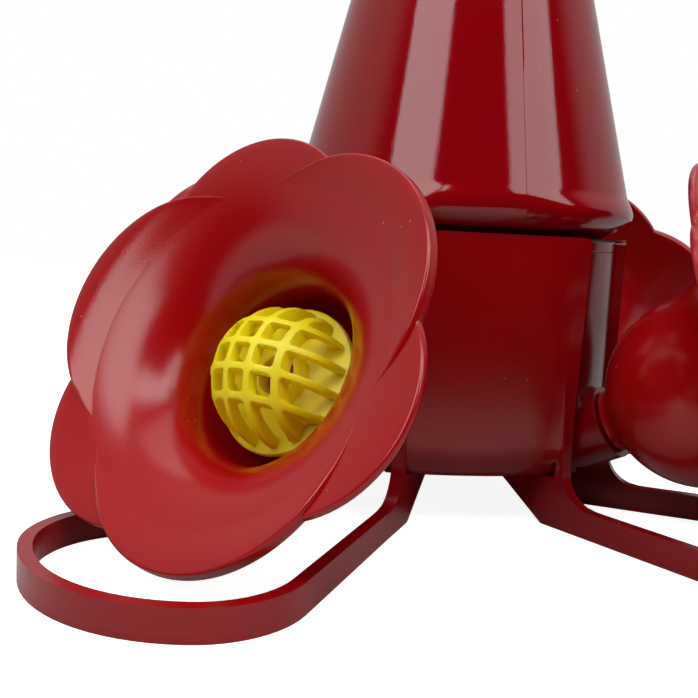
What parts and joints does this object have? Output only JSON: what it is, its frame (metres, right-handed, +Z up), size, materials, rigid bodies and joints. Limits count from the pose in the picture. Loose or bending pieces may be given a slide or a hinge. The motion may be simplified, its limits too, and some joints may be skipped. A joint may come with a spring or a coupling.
{
  "type": "hummingbird feeder",
  "caption": "Hanging or standing nectar feeder: a tapered screw-in bottle over a square bowl with flower-shaped ports, domed bee guards and a perch loop under each flower.",
  "frame": {"origin": "centre of the plane that the four perch loops stand on, on the bottle's axis", "axes": "+Z up along the bottle, +X to the right and -Y towards the front panel, with the flowers on the diagonals"},
  "size_m": [0.1556, 0.1556, 0.1866],
  "materials": {
    "perch_plastic": "gloss",
    "bowl_plastic": "gloss",
    "bottle_plastic": "gloss",
    "flower_plastic": "satin",
    "guard_plastic": "satin",
    "seal_rubber": "matte",
    "bail_steel": "satin"
  },
  "bodies": {
    "base": {"perch_frame": "perch_plastic", "nectar_bowl": "bowl_plastic", "bowl_cover": "bowl_plastic", "flower_front_left": "flower_plastic", "flower_front_right": "flower_plastic", "flower_back_right": "flower_plastic", "flower_back_left": "flower_plastic", "bee_guard_front_left": "guard_plastic", "bee_guard_front_right": "guard_plastic", "bee_guard_back_right": "guard_plastic", "bee_guard_back_left": "guard_plastic", "spout_seal_front_left": "seal_rubber", "spout_seal_front_right": "seal_rubber", "spout_seal_back_right": "seal_rubber", "spout_seal_back_left": "seal_rubber"},
    "seal_ring": {"neck_seal": "seal_rubber"},
    "bottle": {"bottle": "bottle_plastic", "hanger_cap": "bowl_plastic"},
    "bail": {"hanger_bail": "bail_steel"}
  },
  "joints": [
    {"name": "bottle_lift", "type": "slide", "parent": "base", "child": "seal_ring", "axis": [0, 0, 1], "range_m": [0, 0.00501]},
    {"name": "bottle_turn", "type": "hinge", "parent": "seal_ring", "child": "bottle", "pos_m": [0, 0, 0.048], "axis": [0, 0, 1], "range_deg": [0, 450]},
    {"name": "bail_swing", "type": "hinge", "parent": "bottle", "child": "bail", "pos_m": [0, 0, 0.15951], "axis": [0, 1, 0], "range_deg": [-130, 130]}
  ],
  "couplings": [
    {"joint": "bottle_lift", "follows": "bottle_turn", "m_per_rad": 0.00063662}
  ]
}
